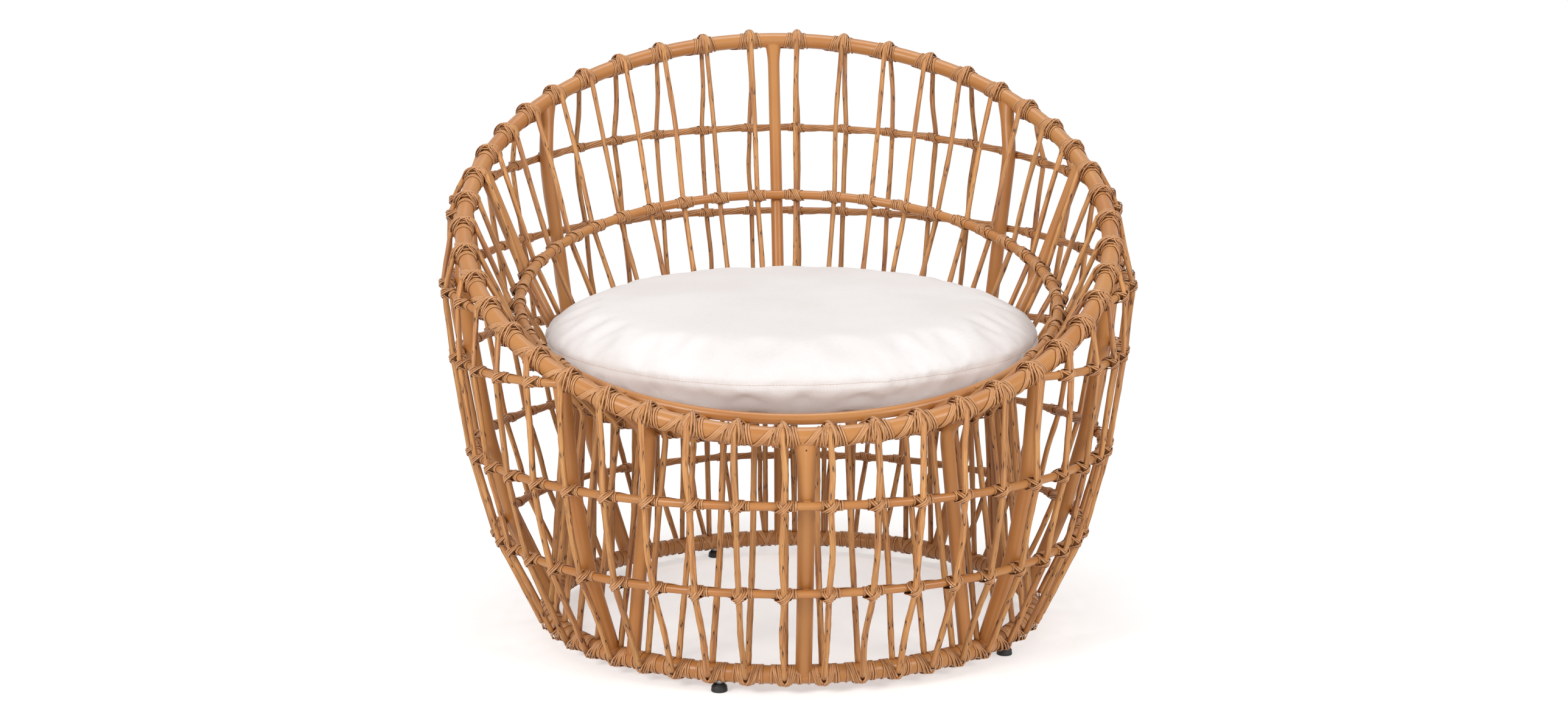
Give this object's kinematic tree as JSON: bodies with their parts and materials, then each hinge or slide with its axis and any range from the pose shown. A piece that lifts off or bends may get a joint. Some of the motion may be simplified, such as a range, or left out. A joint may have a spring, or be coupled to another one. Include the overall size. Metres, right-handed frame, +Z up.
{
  "type": "tub chair",
  "caption": "Round garden tub chair: open double-walled basket of rattan poles lashed to a welded tube frame, sloping rim, loose round cushion, screw-in levelling feet.",
  "frame": {"origin": "on the floor, under the middle of the chair's bounding box", "axes": "+X to the sitter's left, -Y to the chair's front, +Z up"},
  "size_m": [0.8258, 0.8224, 0.7172],
  "materials": {
    "coated_tube": "satin powder coat",
    "rattan_pole": "satin",
    "cushion_cover": "plain weave",
    "foot_plastic": "matt",
    "foot_steel": "zinc plated"
  },
  "bodies": {
    "basket": {"arm_hoop": "coated_tube", "base_ring": "coated_tube", "foot_1_insert": "foot_steel", "foot_2_insert": "foot_steel", "foot_3_insert": "foot_steel", "foot_4_insert": "foot_steel", "foot_5_insert": "foot_steel", "inner_hoop": "coated_tube", "inner_post_back": "coated_tube", "inner_post_front_left": "coated_tube", "inner_post_front_right": "coated_tube", "inner_post_rear_left": "coated_tube", "inner_post_rear_right": "coated_tube", "inner_strands_back_left": "rattan_pole", "inner_strands_back_right": "rattan_pole", "inner_strands_front_left": "rattan_pole", "inner_strands_front_right": "rattan_pole", "inner_strands_side_front_left": "rattan_pole", "inner_strands_side_front_right": "rattan_pole", "inner_strands_side_rear_left": "rattan_pole", "inner_strands_side_rear_right": "rattan_pole", "low_hoop": "coated_tube", "middle_hoop": "coated_tube", "outer_strands_back_left": "rattan_pole", "outer_strands_back_right": "rattan_pole", "outer_strands_front_left": "rattan_pole", "outer_strands_front_right": "rattan_pole", "outer_strands_side_front_left": "rattan_pole", "outer_strands_side_front_right": "rattan_pole", "outer_strands_side_rear_left": "rattan_pole", "outer_strands_side_rear_right": "rattan_pole", "post_back_left": "coated_tube", "post_back_right": "coated_tube", "post_front": "coated_tube", "post_front_left": "coated_tube", "post_front_right": "coated_tube", "post_side_left": "coated_tube", "post_side_right": "coated_tube", "rear_hoop": "coated_tube", "rim_tube": "coated_tube", "seat_bars": "coated_tube", "seat_ring": "coated_tube", "top_hoop": "coated_tube"},
    "cushion": {"cushion": "cushion_cover"},
    "foot_1_stud": {"foot_1_stud": "foot_steel"},
    "foot_1_pad": {"foot_1_pad": "foot_plastic"},
    "foot_2_stud": {"foot_2_stud": "foot_steel"},
    "foot_2_pad": {"foot_2_pad": "foot_plastic"},
    "foot_3_stud": {"foot_3_stud": "foot_steel"},
    "foot_3_pad": {"foot_3_pad": "foot_plastic"},
    "foot_4_stud": {"foot_4_stud": "foot_steel"},
    "foot_4_pad": {"foot_4_pad": "foot_plastic"},
    "foot_5_stud": {"foot_5_stud": "foot_steel"},
    "foot_5_pad": {"foot_5_pad": "foot_plastic"}
  },
  "joints": [
    {"name": "cushion_lift", "type": "slide", "parent": "basket", "child": "cushion", "axis": [0, 0, 1], "range_m": [0, 0.3]},
    {"name": "foot_1_screw", "type": "slide", "parent": "basket", "child": "foot_1_stud", "axis": [0, 0, -1], "range_m": [0, 0.008]},
    {"name": "foot_1_turn", "type": "hinge", "parent": "foot_1_stud", "child": "foot_1_pad", "pos_m": [-0.09116, -0.30357, 0.004], "axis": [0, 0, -1], "range_deg": [0, 2305]},
    {"name": "foot_2_screw", "type": "slide", "parent": "basket", "child": "foot_2_stud", "axis": [0, 0, -1], "range_m": [0, 0.008]},
    {"name": "foot_2_turn", "type": "hinge", "parent": "foot_2_stud", "child": "foot_2_pad", "pos_m": [0.23866, -0.19641, 0.004], "axis": [0, 0, -1], "range_deg": [0, 2305]},
    {"name": "foot_3_screw", "type": "slide", "parent": "basket", "child": "foot_3_stud", "axis": [0, 0, -1], "range_m": [0, 0.008]},
    {"name": "foot_3_turn", "type": "hinge", "parent": "foot_3_stud", "child": "foot_3_pad", "pos_m": [0.23866, 0.15039, 0.004], "axis": [0, 0, -1], "range_deg": [0, 2305]},
    {"name": "foot_4_screw", "type": "slide", "parent": "basket", "child": "foot_4_stud", "axis": [0, 0, -1], "range_m": [0, 0.008]},
    {"name": "foot_4_turn", "type": "hinge", "parent": "foot_4_stud", "child": "foot_4_pad", "pos_m": [-0.09116, 0.25755, 0.004], "axis": [0, 0, -1], "range_deg": [0, 2305]},
    {"name": "foot_5_screw", "type": "slide", "parent": "basket", "child": "foot_5_stud", "axis": [0, 0, -1], "range_m": [0, 0.008]},
    {"name": "foot_5_turn", "type": "hinge", "parent": "foot_5_stud", "child": "foot_5_pad", "pos_m": [-0.295, -0.02301, 0.004], "axis": [0, 0, -1], "range_deg": [0, 2305]}
  ],
  "couplings": [
    {"joint": "foot_1_turn", "follows": "foot_1_screw", "rad_per_m": 5026.5},
    {"joint": "foot_2_turn", "follows": "foot_2_screw", "rad_per_m": 5026.5},
    {"joint": "foot_3_turn", "follows": "foot_3_screw", "rad_per_m": 5026.5},
    {"joint": "foot_4_turn", "follows": "foot_4_screw", "rad_per_m": 5026.5},
    {"joint": "foot_5_turn", "follows": "foot_5_screw", "rad_per_m": 5026.5}
  ]
}
